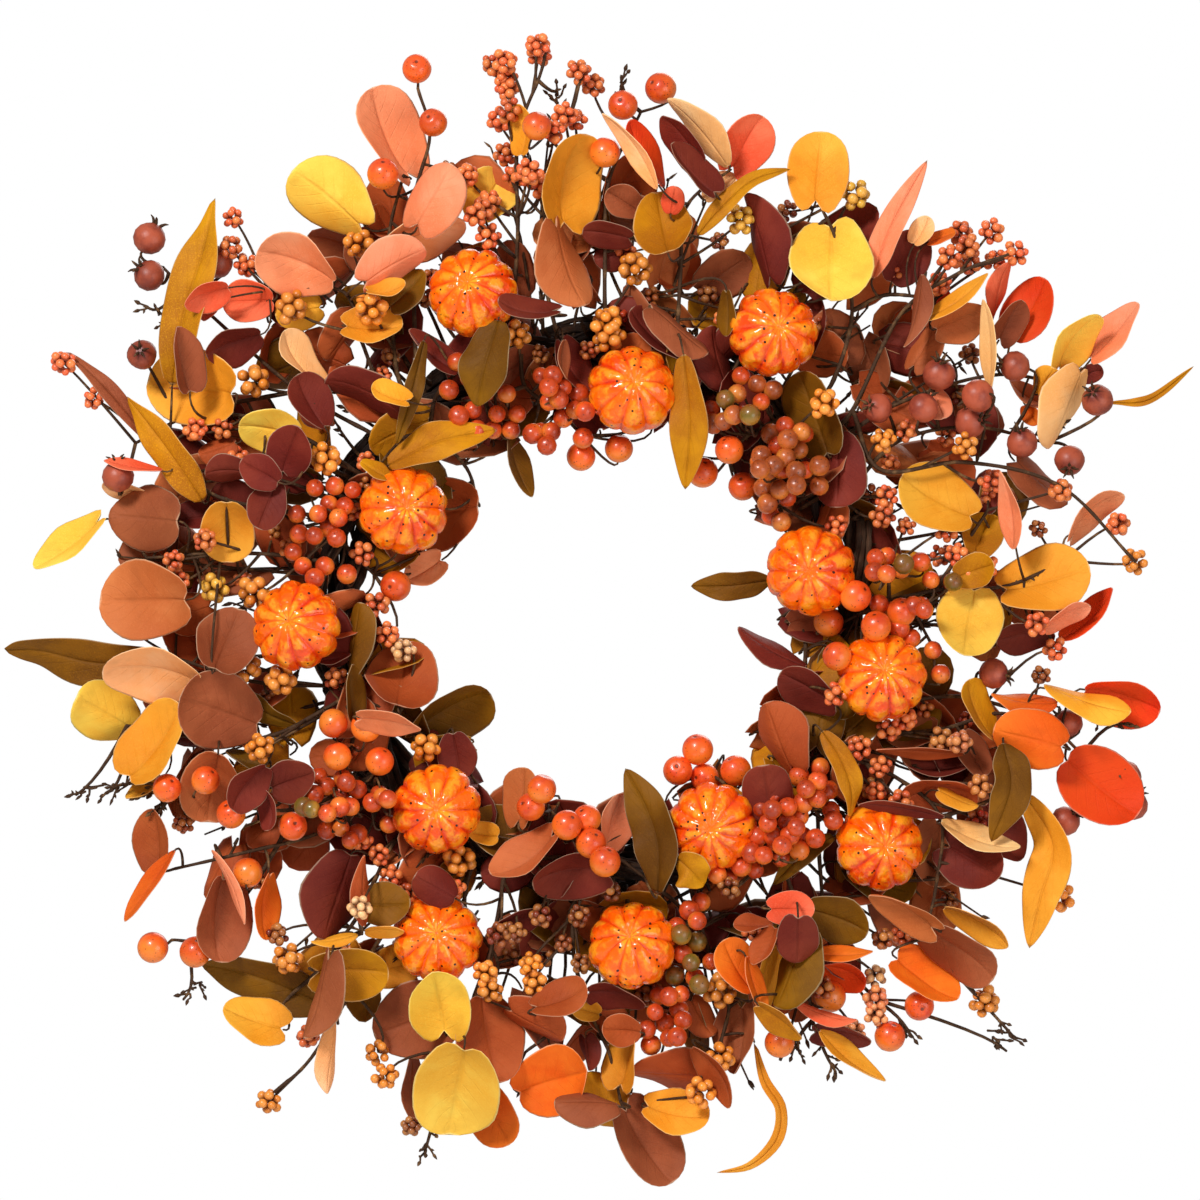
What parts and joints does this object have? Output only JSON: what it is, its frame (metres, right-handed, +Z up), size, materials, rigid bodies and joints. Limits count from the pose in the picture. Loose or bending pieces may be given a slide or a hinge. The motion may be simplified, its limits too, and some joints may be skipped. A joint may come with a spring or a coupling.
{
  "type": "door wreath",
  "caption": "Harvest door wreath: a twisted vine ring dressed with small pumpkins, autumn leaf sprays, berry and hip branches and beaded sprigs.",
  "frame": {"origin": "the hanging point: the underside of the top of the vine ring, in the middle of its thickness, where a door hook carries it", "axes": "+Z up, +X to the right seen from the front, the front faces -Y and the back lies against the door"},
  "size_m": [0.6009, 0.0825, 0.5784],
  "materials": {
    "vine_bark": "dry bark, matt",
    "stem_wrap": "waxed paper tape, matt",
    "pumpkin_lacquer": "lacquered foam, high gloss with dark specks",
    "leaf_fabric": "die-cut flocked leaf, matt",
    "long_leaf_fabric": "die-cut flocked leaf, matt",
    "berry_foam": "coated foam, satin",
    "hip_foam": "coated foam, satin",
    "bead_foam": "coated foam, satin"
  },
  "bodies": {
    "root": {"vine_1": "vine_bark", "vine_2": "vine_bark", "vine_3": "vine_bark", "ring_tie_1": "stem_wrap", "ring_tie_2": "stem_wrap", "ring_tie_3": "stem_wrap", "pumpkin_01": "pumpkin_lacquer", "pumpkin_02": "pumpkin_lacquer", "pumpkin_03": "pumpkin_lacquer", "pumpkin_04": "pumpkin_lacquer", "pumpkin_05": "pumpkin_lacquer", "pumpkin_06": "pumpkin_lacquer", "pumpkin_07": "pumpkin_lacquer", "pumpkin_08": "pumpkin_lacquer", "pumpkin_09": "pumpkin_lacquer", "pumpkin_10": "pumpkin_lacquer", "pumpkin_11": "pumpkin_lacquer", "pumpkin_12": "pumpkin_lacquer", "leaf_spray_01": "leaf_fabric", "leaf_spray_02": "leaf_fabric", "leaf_spray_03": "leaf_fabric", "leaf_spray_04": "leaf_fabric", "leaf_spray_05": "leaf_fabric", "leaf_spray_06": "leaf_fabric", "leaf_spray_07": "leaf_fabric", "leaf_spray_08": "leaf_fabric", "leaf_spray_09": "leaf_fabric", "leaf_spray_10": "leaf_fabric", "leaf_spray_11": "leaf_fabric", "leaf_spray_12": "leaf_fabric", "leaf_spray_13": "leaf_fabric", "leaf_spray_14": "leaf_fabric", "leaf_spray_15": "leaf_fabric", "leaf_spray_16": "leaf_fabric", "leaf_spray_17": "leaf_fabric", "leaf_spray_18": "leaf_fabric", "leaf_spray_19": "leaf_fabric", "leaf_spray_20": "leaf_fabric", "leaf_spray_21": "leaf_fabric", "leaf_spray_22": "leaf_fabric", "long_leaf_spray_1": "long_leaf_fabric", "long_leaf_spray_2": "long_leaf_fabric", "berry_branch_01": "berry_foam", "berry_branch_02": "berry_foam", "berry_branch_03": "berry_foam", "berry_branch_04": "berry_foam", "berry_branch_05": "berry_foam", "berry_branch_06": "berry_foam", "berry_branch_07": "berry_foam", "berry_branch_08": "berry_foam", "berry_branch_09": "berry_foam", "berry_branch_10": "berry_foam", "berry_branch_11": "berry_foam", "berry_branch_12": "berry_foam", "hip_branch_1": "hip_foam", "hip_branch_2": "hip_foam", "hip_branch_3": "hip_foam", "bead_sprig_1": "bead_foam", "bead_sprig_2": "bead_foam", "bead_sprig_3": "bead_foam"}
  },
  "joints": []
}
